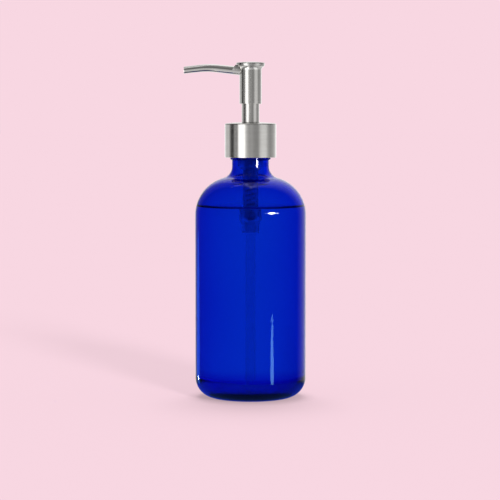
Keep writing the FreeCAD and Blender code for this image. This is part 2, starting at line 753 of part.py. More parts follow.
def put(thing, point, rotation):
    """Place a thing at a point of the XZ plane, given as sizes, and bind the point."""
    thing.Placement = Placement(Vector(point[0].value, 0, point[1].value), rotation)
    bind(thing, "Placement.Base.x", point[0])
    bind(thing, "Placement.Base.z", point[1])


def facing(way):
    """The turn that takes the Z axis to a way in the XZ plane."""
    return Rotation(Vector(0, 0, 1), Vector(way[0].value, 0, way[1].value))


def straight_run(doc, label, point, way, length, start_radius, end_radius):
    """A straight stretch of the spout, tapered when its two radii differ."""
    if start_radius is end_radius:
        run = doc.addObject("Part::Cylinder", label)
        bind(run, "Radius", start_radius)
    else:
        run = doc.addObject("Part::Cone", label)
        bind(run, "Radius1", start_radius)
        bind(run, "Radius2", end_radius)
    bind(run, "Height", length)
    put(run, point, facing(way))
    return run


def bent_run(doc, label, path, radius):
    """The bend of the spout: part of a torus that joins its two straight runs."""
    bend = doc.addObject("Part::Torus", label)
    bind(bend, "Radius1", path.bend)
    bind(bend, "Radius2", radius)
    bind(bend, "Angle3", path.turn)
    outward = Vector(path.out[1].value, 0, -path.out[0].value)
    onward = Vector(path.out[0].value, 0, path.out[1].value)
    put(bend, path.centre, Rotation(outward, onward, Vector(0, -1, 0), "XYZ"))
    return bend


def path_solid(doc, label, path, radii, start_back, end_extra):
    """A solid along the spout's path, with the radii given at its root, its bend and its tip."""
    first = straight_run(
        doc, label + "_first", path.along(path.root, path.out, -start_back), path.out,
        path.first_run + start_back, radii[0], radii[1])
    bend = bent_run(doc, label + "_bend", path, radii[1])
    last = straight_run(
        doc, label + "_last", path.bend_end, path.away, path.last_run + end_extra, radii[1], radii[2])
    whole = doc.addObject("Part::MultiFuse", label)
    whole.Shapes = [first, bend, last]
    return whole


def cut(doc, label, base, tool):
    result = doc.addObject("Part::Cut", label)
    result.Label = label
    result.Base = base
    result.Tool = tool
    return result


def fuse(doc, label, *shapes):
    result = doc.addObject("Part::MultiFuse", label)
    result.Shapes = list(shapes)
    return result


def beyond_tip(doc, label, distance):
    """A block that fills everything farther from the axis than distance, on the spout's side."""
    block = doc.addObject("Part::Box", label)
    side = 40
    block.Length = side
    block.Width = side
    block.Height = side
    block.Placement = Placement(Vector(-distance.value - side, -side / 2, 200), Rotation())
    bind(block, "Placement.Base.x", -distance - side)
    return block


def make_spout_tube(doc, d, path):
    """Tapered metal tube, rising from the head, bent, and falling to a tip cut upright."""
    radii = (d.spout_root_radius, d.spout_mid_radius, d.spout_tip_radius)
    outside = path_solid(doc, "spout_outside", path, radii, Size(0), Size(2))
    inside = path_solid(doc, "spout_inside", path, [d.spout_bore] * 3, Size(1), Size(4))
    removed = fuse(doc, "spout_removed", inside, beyond_tip(doc, "spout_tip_cut", d.spout_tip_x))
    return cut(doc, "spout_tube", outside, removed)


def make_spout_liner(doc, d, path):
    """Plastic tube inside the spout that carries the liquid, a little short of the tip."""
    outside = path_solid(doc, "liner_outside", path, [d.liner_radius] * 3, Size(0), Size(1))
    inside = path_solid(doc, "liner_inside", path, [d.liner_bore] * 3, Size(1), Size(2))
    end = d.spout_tip_x - d.liner_recess
    removed = fuse(doc, "liner_removed", inside, beyond_tip(doc, "liner_tip_cut", end))
    return cut(doc, "spout_liner", outside, removed)


def make_head_core(doc, d, path):
    """Plastic block inside the head: stem socket, outlet valve chamber, spout socket and channel."""
    socket = d.stem_radius + d.press_gap
    roof = d.stem_top + d.press_gap
    block = turned(doc, "head_core_block", [
        (socket, d.core_bottom),
        (d.core_radius, d.core_bottom),
        (d.core_radius, d.core_top),
        (0, d.core_top),
        (0, d.core_cavity_top),
        (d.core_cavity, d.core_cavity_top),
        (d.core_cavity, roof),
        (socket, roof),
    ])
    depth = d.spout_root_x - d.press_gap
    mouth = path.along(path.root, path.out, Size(-0.05))
    seat = d.spout_root_radius + d.fit_gap
    spout_socket = straight_run(doc, "head_core_socket", mouth, path.out, Size(8), seat, seat)
    start = path.along(path.root, path.out, -depth)
    channel = straight_run(doc, "head_core_channel", start, path.out, depth, d.liner_bore, d.liner_bore)
    return cut(doc, "head_core", block, fuse(doc, "head_core_bores", spout_socket, channel))


def make_head_guide_ring(doc, d):
    """Plastic ring in the foot of the head that runs on the neck sleeve."""
    outer = d.head_radius - d.sheet_metal - d.press_gap
    return turned(doc, "head_guide_ring", [
        (d.ring_bore, d.ring_bottom),
        (outer, d.ring_bottom),
        (outer, d.ring_bottom + d.ring_height),
        (d.ring_bore, d.ring_bottom + d.ring_height),
    ])


def flare_arc(d, inset):
    """The corners and radius of the head shell's flare, outside or moved in by inset at its start."""
    start = d.head_radius - inset
    run = d.flare_radius - d.head_radius
    rise = d.flare_edge - d.flare_start
    return start, start + run, bulge(rise, run)


def make_head_shell(doc, d, path):
    """Drawn metal tube of the head, flared at the top under the cap and holed for the spout."""
    outer, rim, outer_flare = flare_arc(d, Size(0))
    inner, inner_rim, inner_flare = flare_arc(d, d.sheet_metal)
    lift = d.head_top - d.flare_edge
    tube = turned(doc, "head_shell_tube", [
        (inner, d.head_bottom),
        (outer, d.head_bottom),
        (outer, d.flare_start, -outer_flare),
        (rim, d.flare_edge),
        (rim, d.head_top),
        (inner_rim, d.head_top, inner_flare),
        (inner, d.flare_start + lift),
    ])
    radius = d.spout_root_radius + d.fit_gap
    hole = straight_run(doc, "head_shell_hole", path.root, path.out, Size(7), radius, radius)
    return cut(doc, "head_shell", tube, hole)


def make_head_cap(doc, d):
    """Button that the hand presses: a disc with rounded edges and a slightly domed top."""
    edge = d.cap_radius - d.cap_round
    return turned(doc, "head_cap", [
        (0, d.cap_bottom),
        (edge, d.cap_bottom, d.cap_round),
        (d.cap_radius, d.cap_bottom + d.cap_round),
        (d.cap_radius, d.cap_edge - d.cap_round, d.cap_round),
        (edge, d.cap_edge, bulge(edge, d.cap_crown - d.cap_edge)),
        (0, d.cap_crown),
    ])


def make_spout_saddle(doc, d, path):
    """Small metal saddle astride the spout's root, rising to the head's rim."""
    wedge = new_body(doc, "spout_saddle_wedge")
    web = wedge.newObject("PartDesign::Pad", "spout_saddle_web")
    web.Profile = draw_outline(wedge, "spout_saddle_outline", [
        (-d.core_radius, d.saddle_bottom),
        (-d.core_radius, d.saddle_top),
        (-d.saddle_shoulder, d.saddle_top),
        (-d.saddle_reach, d.saddle_bottom + d.saddle_tip),
        (-d.saddle_reach, d.saddle_bottom),
    ])
    bind(web, "Length", d.saddle_width)
    web.Midplane = True
    gap = d.fit_gap
    clear = turned(doc, "spout_saddle_clear", [
        (0, d.flare_start - 3),
        (d.head_radius + gap, d.flare_start - 3),
        (d.head_radius + gap, d.flare_start, -flare_arc(d, Size(0))[2]),
        (d.flare_radius + gap, d.flare_edge),
        (d.cap_radius + gap, d.cap_bottom),
        (d.cap_radius + gap, d.cap_crown),
        (0, d.cap_crown),
    ])
    radius = d.spout_root_radius + gap / 2
    tube = straight_run(doc, "spout_saddle_tube", path.root, path.out, Size(12), radius, radius)
    return cut(doc, "spout_saddle", wedge, fuse(doc, "spout_saddle_removed", clear, tube))


def make_pieces(doc, d):
    path = SpoutPath(d)
    return [
        make_bottle(doc, d),
        make_soap_fill(doc, d),
        make_gasket(doc, d),
        make_pump_housing(doc, d),
        make_dip_tube(doc, d),
        make_inlet_ball(doc, d),
        make_spring_seat(doc, d),
        make_return_spring(doc, d),
        make_stem_guide(doc, d),
        make_neck_sleeve(doc, d),
        make_closure_insert(doc, d),
        make_collar_shell(doc, d),
        make_piston_seal(doc, d),
        make_piston_retainer(doc, d),
        make_stem(doc, d),
        make_outlet_ball(doc, d),
        make_head_core(doc, d, path),
        make_head_guide_ring(doc, d),
        make_head_shell(doc, d, path),
        make_head_cap(doc, d),
        make_spout_tube(doc, d, path),
        make_spout_liner(doc, d, path),
        make_spout_saddle(doc, d, path),
    ]


def check_document(doc, pieces):
    """Stop on any failed object, and on any piece that isn't one valid solid."""
    for thing in doc.Objects:
        if "Invalid" in thing.State or "Error" in thing.State:
            raise RuntimeError(f"{thing.Name} failed: {thing.State}")
    for piece in pieces:
        shape = piece.Shape
        if shape.isNull() or not shape.isValid():
            raise RuntimeError(piece.Label + " has no valid shape")
        if len(shape.Solids) != 1:
            raise RuntimeError(f"{piece.Label} has {len(shape.Solids)} solids")


def main():
    doc = FreeCAD.newDocument("pump_bottle")
    sizes = make_sheet(doc)
    pieces = make_pieces(doc, sizes)
    doc.recompute()
    check_document(doc, pieces)
    os.makedirs("parts", exist_ok=True)
    for piece in pieces:
        piece.Shape.exportStep(os.path.join("parts", piece.Label + ".step"))
        print(f"{piece.Label:18s} volume {piece.Shape.Volume:10.2f} mm3")


main()
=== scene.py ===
import json
import math

import bmesh
import bpy
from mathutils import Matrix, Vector, noise


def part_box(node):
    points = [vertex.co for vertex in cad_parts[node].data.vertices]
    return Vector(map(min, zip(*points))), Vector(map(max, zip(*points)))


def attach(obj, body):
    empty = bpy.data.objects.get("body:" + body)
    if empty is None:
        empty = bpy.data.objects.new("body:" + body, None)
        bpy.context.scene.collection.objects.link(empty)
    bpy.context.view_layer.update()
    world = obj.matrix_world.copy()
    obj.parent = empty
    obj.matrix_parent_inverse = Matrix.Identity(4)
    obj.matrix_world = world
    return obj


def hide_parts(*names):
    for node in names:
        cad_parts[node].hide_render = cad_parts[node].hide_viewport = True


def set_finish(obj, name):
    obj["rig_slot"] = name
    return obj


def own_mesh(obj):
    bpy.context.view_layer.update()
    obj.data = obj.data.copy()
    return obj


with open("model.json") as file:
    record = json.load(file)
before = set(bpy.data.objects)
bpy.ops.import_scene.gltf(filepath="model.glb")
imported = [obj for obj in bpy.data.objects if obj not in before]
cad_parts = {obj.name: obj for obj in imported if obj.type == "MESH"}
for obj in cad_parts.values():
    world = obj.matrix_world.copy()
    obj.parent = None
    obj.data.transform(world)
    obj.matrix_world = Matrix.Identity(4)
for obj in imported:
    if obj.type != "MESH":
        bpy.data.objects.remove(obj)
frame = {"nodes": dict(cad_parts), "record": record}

MM = 0.001
TOUCH = 0.01
ARC_STEP = math.radians(4)
SHARP_ANGLE = math.radians(40)

# the bottle's glass
BODY_RADIUS = 37.5
WALL = 2.8
HEEL_RADIUS = 13.5
RING_INNER = 21.0
RING_ROUND = 0.5
PUSHUP_RISE = 3.0
FLOOR_MIDDLE = 8.4
FLOOR_EDGE = 6.4
DOME_EDGE = 12.8
DOME_CURVE = 130
INNER_HEEL = 9.0
SHOULDER_START = 124.0
SHOULDER_RADIUS = 25.9
SHOULDER_CORNER = 143.78
NECK_RADIUS = 12.5
NECK_FILLET = 8.0
NECK_CORNER = 150.59
INNER_SHOULDER_CORNER = 141.65
INNER_NECK_CORNER = 148.45
BEAD_RADIUS = 13.65
BEAD_LOW = 161.1
BEAD_HIGH = 162.9
BOTTLE_TOP = 171.0
THREAD_PITCH = 4.2333
THREAD_START = 164.9
THREAD_DEPTH = 1.2
THREAD_ROOT = 2.2
THREAD_CREST = 1.1
GLASS_SEGMENTS = 288
FILL_LEVEL = 128.7

# the pump's metal
COLLAR_RADIUS = 17.4
SLEEVE_RADIUS = 6.0
HEAD_RADIUS = 7.45
CAP_RADIUS = 9.65
SHEET_METAL = 0.5
STEEL_SEGMENTS = 192

# the light. Azimuth 0 is towards the camera, and it grows to the camera's right. Tones are given as
# (azimuth in degrees, tone).
PINK = (0.939, 0.679, 0.761)
SOFT_LIGHT = (0.9, 0.9, 0.9)
FLOOR_GLOW = 0.584
FLOOR_PAINT = 0.12
BRIGHTEST = 3.0
LAMP_DISTANCE = 1.2
LAMP_AIM = 0.14
# what the steel mirrors around it
TENT_AROUND = (
    (-180, 0.70), (-150, 0.75), (-133, 0.66), (-114, 0.78), (-106, 0.45), (-99, 0.08), (-83, 0.03),
    (-76, 0.45), (-60, 0.28), (-53, 2.20), (-28, 2.20), (-23, 1.05), (-16, 0.68), (-4, 0.42),
    (5, 0.54), (13, 0.39), (34, 0.33), (44, 0.78), (52, 0.97), (72, 0.97), (86, 0.50), (99, 0.36),
    (110, 0.46), (133, 0.42), (150, 0.50), (180, 0.70),
)
# how that changes with the height of the direction, as (height from -1 to 1, share)
TENT_UPWARD = (
    (-1.0, 0.14), (-0.95, 0.20), (-0.88, 1.20), (-0.43, 1.55), (-0.20, 1.20), (-0.10, 1.00),
    (0.05, 1.00), (0.11, 0.28), (0.55, 0.36), (0.70, 0.45), (0.90, 0.62), (1.0, 0.65),
)
# what the glass mirrors around it
ROOM_AROUND = (
    (-180, 0.94), (-165, 0.60), (-154, 0.16), (-140, 0.08), (-128, 0.02), (-60, 0.02), (0, 0.02),
    (60, 0.02), (112, 0.01), (122, 0.10), (132, 0.24), (142, 0.38), (156, 0.64), (170, 0.90), (180, 0.94),
)
# what it mirrors below: the ground under the bottle, in the blue light that comes through it. Only glass and
# liquid have singular rays, which are those of a perfectly smooth surface, so the steel mirrors DARK there.
UNDER_BOTTLE = (0.03, 0.07, 0.35)
DARK = (0.01, 0.01, 0.01)
# the backdrop behind the glass
BEHIND_AROUND = (
    (-180, 1.05), (-167, 1.08), (-152, 0.96), (-140, 0.88), (-120, 0.80), (-90, 0.60), (0, 0.60),
    (90, 1.00), (120, 1.40), (150, 1.40), (161, 1.30), (167, 1.22), (172, 1.15), (180, 1.05),
)


# ---------------------------------------------------------------- outlines and meshes

def tangent_arc(before, corner, after, radius):
    """Points of the arc that rounds the corner between two straight lines."""
    into = (corner - before).normalized()
    out = (after - corner).normalized()
    turn = math.atan2(into.cross(out), into.dot(out))
    reach = radius * math.tan(abs(turn) / 2)
    start = corner - into * reach
    centre = start + Vector((-into.y, into.x)) * math.copysign(radius, turn)
    count = max(2, math.ceil(abs(turn) / ARC_STEP))
    points = []
    for k in range(count + 1):
        angle = turn * k / count
        arm = start - centre
        points.append(centre + Vector((
            arm.x * math.cos(angle) - arm.y * math.sin(angle),
            arm.x * math.sin(angle) + arm.y * math.cos(angle),
        )))
    return points


def rounded(corners):
    """An outline with its corners rounded by their fillet radius, where they have one."""
    spots = [Vector(corner[:2]) for corner in corners]
    points = []
    for k, corner in enumerate(corners):
        if len(corner) == 2:
            points.append(spots[k])
        else:
            after = spots[(k + 1) % len(spots)]
            points += tangent_arc(spots[k - 1], spots[k], after, corner[2])
    return points


def divided(points, longest, low, high):
    """The outline with its runs between two heights cut into stretches no longer than a given length."""
    result = [points[0]]
    for start, end in zip(points, points[1:]):
        inside = min(start.y, end.y) >= low and max(start.y, end.y) <= high
        count = math.ceil((end - start).length / longest) if inside else 1
        for k in range(1, count + 1):
            result.append(start.lerp(end, k / count))
    return result


def supported(points, closed):
    """The outline with a point near each end of its long straight runs, to keep them flat when shaded."""
    near = 0.5
    result = []
    count = len(points) if closed else len(points) - 1
    for k in range(count):
        start = points[k]
        end = points[(k + 1) % len(points)]
        result.append(start)
        length = (end - start).length
        if length > 6 * near:
            result.append(start.lerp(end, near / length))
            result.append(end.lerp(start, near / length))
    if not closed:
        result.append(points[-1])
    return result


def new_piece(name, verts, faces):
    """A smooth mesh object whose edges stay sharp where its faces meet at a steep angle."""
    mesh = bpy.data.meshes.new(name)
    mesh.from_pydata(verts, [], faces)
    mesh.validate()
    mesh.shade_smooth()
    mesh.set_sharp_from_angle(angle=SHARP_ANGLE)
    piece = bpy.data.objects.new(name, mesh)
    bpy.context.scene.collection.objects.link(piece)
    return piece


def skin(rows, closed):
    """The faces between rings of point numbers. A point that is repeated in a ring makes triangles."""
    faces = []
    pairs = list(zip(rows, rows[1:]))
    if closed:
        pairs.append((rows[-1], rows[0]))
    for lower, upper in pairs:
        for k in range(len(lower)):
            after = (k + 1) % len(lower)
            corners = [lower[k], lower[after], upper[after], upper[k]]
            face = [c for i, c in enumerate(corners) if c != corners[i - 1]]
            if len(face) > 2:
                faces.append(face)
    return faces


def lathe(name, outline, segments, warp=None):
    """A closed mesh turned about the Z axis. An outline that starts on the axis also ends there."""
    on_axis = 1e-6
    closed = outline[0].x > on_axis
    outline = supported(outline, closed)
    verts = []
    rows = []
    for spot in outline:
        row = []
        for k in range(segments):
            if spot.x > on_axis or k == 0:
                angle = 2 * math.pi * k / segments
                radius, height = warp(angle, spot.x, spot.y) if warp else (spot.x, spot.y)
                row.append(len(verts))
                verts.append((radius * MM * math.cos(angle), radius * MM * math.sin(angle), height * MM))
            else:
                row.append(row[0])
        rows.append(row)
    return new_piece(name, verts, skin(rows, closed))


def sweep(name, stations, sides, closed):
    """A mesh through rings. Each is given as its centre, its two side directions and its radius."""
    verts = []
    rows = []
    for centre, across, along, radius in stations:
        row = []
        for k in range(sides):
            if radius > 0 or k == 0:
                angle = 2 * math.pi * k / sides
                arm = across * math.cos(angle) + along * math.sin(angle)
                row.append(len(verts))
                verts.append((centre + arm * radius) * MM)
            else:
                row.append(row[0])
        rows.append(row)
    return new_piece(name, verts, skin(rows, closed))


# ---------------------------------------------------------------- the glass and the liquid

def thread_rise(angle, height):
    """How far the neck's thread stands out there: one right-hand turn that fades at its ends."""
    middle = THREAD_START + THREAD_PITCH * angle / (2 * math.pi)
    flank = (THREAD_ROOT - THREAD_CREST) / 2
    share = (THREAD_ROOT / 2 - abs(height - middle)) / flank
    run_out = math.radians(15)
    ends = min(angle, 2 * math.pi - angle) / run_out
    return THREAD_DEPTH * max(0.0, min(1.0, share)) * min(1.0, ends)


def stipple_rise(angle, radius):
    """How far the ring under the base is cut back between its short bars."""
    bars = 72
    cut = 0.25
    inside = RING_INNER + RING_ROUND <= radius <= BODY_RADIUS - HEEL_RADIUS
    gap = math.cos(angle * bars) < 0
    return cut if inside and gap else 0.0


def wave(angle, radius, height, size, amount):
    """Slow unevenness of moulded glass, in millimetres, drawn out along the bottle's height."""
    upright = 0.6
    spot = Vector((radius * math.cos(angle), radius * math.sin(angle), height * upright)) / size
    return noise.noise(spot) * amount


def glass_warp(angle, radius, height):
    """The moulded surface: thread, base ring, mould seams and slight waves."""
    seam_rise = 0.03
    at_seam = math.cos(2 * angle) > 0.99999
    outside_neck = radius > NECK_RADIUS - TOUCH
    inside_wall = radius < BODY_RADIUS - WALL + TOUCH
    if height > BEAD_HIGH - TOUCH and outside_neck:
        return radius + thread_rise(angle, height), height
    if height < TOUCH:
        return radius, height + stipple_rise(angle, radius)
    if HEEL_RADIUS < height < BEAD_LOW:
        if inside_wall:
            return radius + wave(angle, radius, height, 26, 0.10), height
        seam = seam_rise if at_seam else 0.0
        return radius + seam - abs(wave(angle, radius, height, 34, 0.04)), height
    return radius, height


def make_bottle():
    """Ring base with a push-up, straight body, round shoulder, neck, bead and thread."""
    pushup_edge, pushup_curve = 10.5, 71
    bead_slope, bead_foot, bead_round = 0.5, 0.3, 0.35
    lip_outside, lip_inside = 0.8, 0.6
    outline = rounded([
        (0, PUSHUP_RISE),
        (pushup_edge, PUSHUP_RISE, pushup_curve),
        (RING_INNER, 0, RING_ROUND),
        (BODY_RADIUS, 0, HEEL_RADIUS),
        (BODY_RADIUS, SHOULDER_CORNER, SHOULDER_RADIUS),
        (NECK_RADIUS, NECK_CORNER, NECK_FILLET),
        (NECK_RADIUS, BEAD_LOW, bead_foot),
        (BEAD_RADIUS, BEAD_LOW + bead_slope, bead_round),
        (BEAD_RADIUS, BEAD_HIGH - bead_slope, bead_round),
        (NECK_RADIUS, BEAD_HIGH, bead_foot),
        (NECK_RADIUS, BOTTLE_TOP, lip_outside),
        (NECK_RADIUS - WALL, BOTTLE_TOP, lip_inside),
        (NECK_RADIUS - WALL, INNER_NECK_CORNER, NECK_FILLET + WALL),
        (BODY_RADIUS - WALL, INNER_SHOULDER_CORNER, SHOULDER_RADIUS - WALL),
        (BODY_RADIUS - WALL, FLOOR_EDGE, INNER_HEEL),
        (DOME_EDGE, FLOOR_MIDDLE, DOME_CURVE),
        (0, FLOOR_MIDDLE),
    ])
    ring = divided(outline, 1.0, -TOUCH, TOUCH)
    body = divided(ring, 4.0, HEEL_RADIUS, BEAD_LOW)
    neck = divided(body, 0.35, BEAD_HIGH, BOTTLE_TOP)
    piece = lathe("bottle_glass", neck, GLASS_SEGMENTS, glass_warp)
    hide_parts("bottle")
    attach(piece, "vessel")
    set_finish(piece, "blue_glass")
    return piece


def make_soap():
    """The liquid. It reaches slightly into the glass, so there's no film of air, and climbs at its edge."""
    wet = 0.15
    climb = 1.8
    wall = BODY_RADIUS - WALL + wet
    shoulder_centre = BODY_RADIUS - SHOULDER_RADIUS
    shoulder = SHOULDER_RADIUS - WALL + wet
    top_angle = math.asin((FILL_LEVEL + climb - SHOULDER_START) / shoulder)
    shoulder_points = []
    count = 6
    for k in range(count + 1):
        angle = top_angle * k / count
        shoulder_points.append(Vector((
            shoulder_centre + shoulder * math.cos(angle),
            SHOULDER_START + shoulder * math.sin(angle),
        )))
    edge = shoulder_points[-1]
    meniscus = []
    for reach, rise in ((0.25, 0.66), (0.6, 0.42), (1.1, 0.24), (1.8, 0.11), (3.0, 0.03), (4.5, 0.0)):
        meniscus.append(Vector((edge.x - reach, FILL_LEVEL + climb * rise)))
    around_barrel = []
    for radius, rise in ((9.5, 0), (7.6, 0.06), (6.4, 0.25), (5.6, 0.55), (5.0, 0.85), (0, 0.85)):
        around_barrel.append(Vector((radius, FILL_LEVEL + rise)))
    foot = rounded([
        (0, FLOOR_MIDDLE - wet),
        (DOME_EDGE, FLOOR_MIDDLE - wet, DOME_CURVE),
        (wall, FLOOR_EDGE - wet, INNER_HEEL + wet),
        (wall, SHOULDER_START - TOUCH),
    ])
    outline = foot + shoulder_points + meniscus + around_barrel
    piece = lathe("soap_liquid", outline, 192)
    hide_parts("soap_fill")
    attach(piece, "vessel")
    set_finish(piece, "liquid_soap")
    return piece


# ---------------------------------------------------------------- the metal pieces

def make_collar():
    """Drawn cup over the closure: hemmed lower edge, rounded top edge, slightly domed crown."""
    low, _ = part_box("collar_shell")
    bottom = low.z / MM
    crown_edge = 185.7
    crown_bend, bend_rise, bend_curve = 12.0, 0.55, 60
    hole, hole_height = 6.15, 186.6
    inner = COLLAR_RADIUS - SHEET_METAL
    outline = rounded([
        (inner, bottom, 0.2),
        (COLLAR_RADIUS, bottom, 0.28),
        (COLLAR_RADIUS, crown_edge, 0.9),
        (crown_bend, crown_edge + bend_rise, bend_curve),
        (hole, hole_height, 0.2),
        (hole, hole_height - SHEET_METAL, 0.1),
        (crown_bend, crown_edge + bend_rise - SHEET_METAL, bend_curve),
        (inner, crown_edge - SHEET_METAL, 0.4),
    ])
    piece = lathe("collar_metal", outline, STEEL_SEGMENTS)
    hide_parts("collar_shell")
    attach(piece, "collar")
    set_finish(piece, "brushed_steel")
    return piece


def make_sleeve():
    """Thin tube that the head slides over, turned in at its top."""
    low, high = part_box("neck_sleeve")
    bottom = low.z / MM
    top = high.z / MM
    sheet = 0.38
    hole = 3.75
    outline = rounded([
        (SLEEVE_RADIUS - sheet, bottom),
        (SLEEVE_RADIUS, bottom, 0.1),
        (SLEEVE_RADIUS, top, 0.35),
        (hole, top, 0.12),
        (hole, top - sheet, 0.1),
        (SLEEVE_RADIUS - sheet, top - sheet),
    ])
    piece = lathe("neck_sleeve_metal", outline, STEEL_SEGMENTS)
    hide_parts("neck_sleeve")
    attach(piece, "pump_body")
    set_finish(piece, "brushed_steel")
    return piece


def make_head():
    """Drawn tube of the head, flared to a rim under the cap."""
    low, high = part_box("head_shell")
    bottom = low.z / MM
    top = high.z / MM
    inner = HEAD_RADIUS - SHEET_METAL
    flare, flare_curve = 223.05, 2.8
    inner_flare, inner_curve = 223.45, 2.4
    rim, rim_height = 9.3, 0.35
    outline = rounded([
        (inner, bottom, 0.15),
        (HEAD_RADIUS, bottom, 0.3),
        (HEAD_RADIUS, flare, flare_curve),
        (rim, top - rim_height, 0.25),
        (rim, top, 0.12),
        (rim - SHEET_METAL, top, 0.1),
        (inner, inner_flare, inner_curve),
    ])
    piece = lathe("head_tube_metal", outline, STEEL_SEGMENTS)
    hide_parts("head_shell")
    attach(piece, "head")
    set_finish(piece, "brushed_steel")
    return piece


def make_cap():
    """Button that the hand presses, with rounded edges and a low dome."""
    low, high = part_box("head_cap")
    bottom = low.z / MM
    crown = high.z / MM
    edge_height = 226.6
    dome_edge, dome_drop, dome_curve = 4.6, 0.02, 30
    outline = rounded([
        (0, bottom),
        (CAP_RADIUS, bottom, 0.45),
        (CAP_RADIUS, edge_height, 0.75),
        (dome_edge, crown - dome_drop, dome_curve),
        (0, crown),
    ])
    piece = lathe("head_cap_metal", outline, STEEL_SEGMENTS)
    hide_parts("head_cap")
    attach(piece, "head")
    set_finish(piece, "brushed_steel")
    return piece


def spout_line():
    """Centre points and headings of the spout: a rising run, a bend and a falling run."""
    rising_steps, bend_steps, falling_steps = 12, 16, 9
    root_x = -4.6
    bend = Vector((-28.7, 223.35))
    tip_x = -45.0
    rise = math.radians(6.0)
    fall = math.radians(6.2)
    radius = 55.0
    reach = radius * math.tan((rise + fall) / 2)
    out = Vector((-math.cos(rise), math.sin(rise)))
    away = Vector((-math.cos(fall), -math.sin(fall)))
    root = bend - out * ((root_x - bend.x) / math.cos(rise))
    bend_start = bend - out * reach
    bend_end = bend + away * reach
    tip = bend + away * ((bend.x - tip_x) / math.cos(fall))
    line = []
    for k in range(rising_steps):
        line.append((root.lerp(bend_start, k / rising_steps), out))
    centre = bend_start + Vector((-out.y, out.x)) * radius
    for k in range(bend_steps + 1):
        heading = rise - (rise + fall) * k / bend_steps
        way = Vector((-math.cos(heading), math.sin(heading)))
        line.append((centre - Vector((-way.y, way.x)) * radius, way))
    for k in range(1, falling_steps):
        line.append((bend_end.lerp(tip, k / falling_steps), away))
    return line, tip


def make_spout():
    """Slightly tapered tube, cut upright at its tip, with softened edges there."""
    root_radius, middle_radius, tip_radius, bore = 2.9, 2.6, 2.4, 1.95
    soft = 0.18
    sides = 64
    line, tip = spout_line()
    sideways = Vector((0, 1, 0))

    def ring(spot, way, radius):
        heading = Vector((way.x, 0, way.y))
        return Vector((spot.x, 0, spot.y)), sideways.cross(heading), sideways, radius

    def tip_ring(back, radius):
        return Vector((tip.x + back, 0, tip.y)), Vector((0, 0, 1)), sideways, radius

    total = len(line) - 1
    outside = []
    for k, (spot, way) in enumerate(line):
        share = k / total
        if share < 0.5:
            radius = root_radius + (middle_radius - root_radius) * share * 2
        else:
            radius = middle_radius + (tip_radius - middle_radius) * (share - 0.5) * 2
        outside.append(ring(spot, way, radius))
    end = [
        tip_ring(soft + 0.4, tip_radius),
        tip_ring(soft, tip_radius),
        tip_ring(soft * 0.3, tip_radius - soft * 0.3),
        tip_ring(0, tip_radius - soft),
        tip_ring(0, bore + soft * 0.6),
        tip_ring(soft * 0.2, bore + soft * 0.2),
        tip_ring(soft, bore),
    ]
    inside = [ring(spot, way, bore) for spot, way in reversed(line)]
    piece = sweep("spout_tube_metal", outside + end + inside, sides, closed=True)
    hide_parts("spout_tube")
    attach(piece, "head")
    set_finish(piece, "brushed_steel")
    return piece


def make_saddle():
    """The small saddle over the spout's root, with its edges softened."""
    merge = 0.002 * MM
    flat = math.radians(1)
    node = frame["nodes"]["spout_saddle"]
    mesh = node.data.copy()
    mesh.materials.clear()
    shape = bmesh.new()
    shape.from_mesh(mesh)
    bmesh.ops.remove_doubles(shape, verts=shape.verts, dist=merge)
    bmesh.ops.dissolve_limit(shape, angle_limit=flat, verts=shape.verts, edges=shape.edges)
    shape.to_mesh(mesh)
    shape.free()
    piece = bpy.data.objects.new("spout_saddle_metal", mesh)
    bpy.context.scene.collection.objects.link(piece)
    soften = piece.modifiers.new("soften", "BEVEL")
    soften.width = 0.3 * MM
    soften.segments = 3
    soften.limit_method = "ANGLE"
    soften.angle_limit = math.radians(50)
    bpy.context.view_layer.update()
    evaluated = piece.evaluated_get(bpy.context.evaluated_depsgraph_get())
    piece.data = bpy.data.meshes.new_from_object(evaluated)
    piece.modifiers.clear()
    piece.data.shade_smooth()
    piece.data.set_sharp_from_angle(angle=SHARP_ANGLE)
    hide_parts("spout_saddle")
    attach(piece, "head")
    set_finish(piece, "brushed_steel")
    return piece


def make_spring():
    """Compression spring with closed ends."""
    low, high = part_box("return_spring")
    wire = 0.4
    coil = 3.2
    bottom = low.z / MM + wire
    top = high.z / MM - wire
    turns = 6.5
    closed_turns = 0.8
    closed_pitch = 2.05 * wire
    closed_rise = closed_pitch * closed_turns
    steps = 36
    sides = 12

    def height(turn):
        if turn < closed_turns:
            return bottom + closed_rise * turn / closed_turns
        if turn > turns - closed_turns:
            return top - closed_rise * (turns - turn) / closed_turns
        share = (turn - closed_turns) / (turns - 2 * closed_turns)
        return bottom + closed_rise + (top - bottom - 2 * closed_rise) * share

    stations = []
    count = int(turns * steps)
    for k in range(count + 1):
        turn = turns * k / count
        angle = 2 * math.pi * turn
        outward = Vector((math.cos(angle), math.sin(angle), 0))
        centre = outward * coil + Vector((0, 0, height(turn)))
        stations.append((centre, outward, Vector((0, 0, 1)), wire))
    first = stations[0]
    last = stations[-1]
    stations.insert(0, (first[0], first[1], first[2], 0))
    stations.append((last[0], last[1], last[2], 0))
    piece = sweep("return_spring_wire", stations, sides, closed=False)
    piece.data.flip_normals()
    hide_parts("return_spring")
    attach(piece, "pump_body")
    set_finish(piece, "spring_steel")
    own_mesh(piece)
    return piece


# ---------------------------------------------------------------- materials

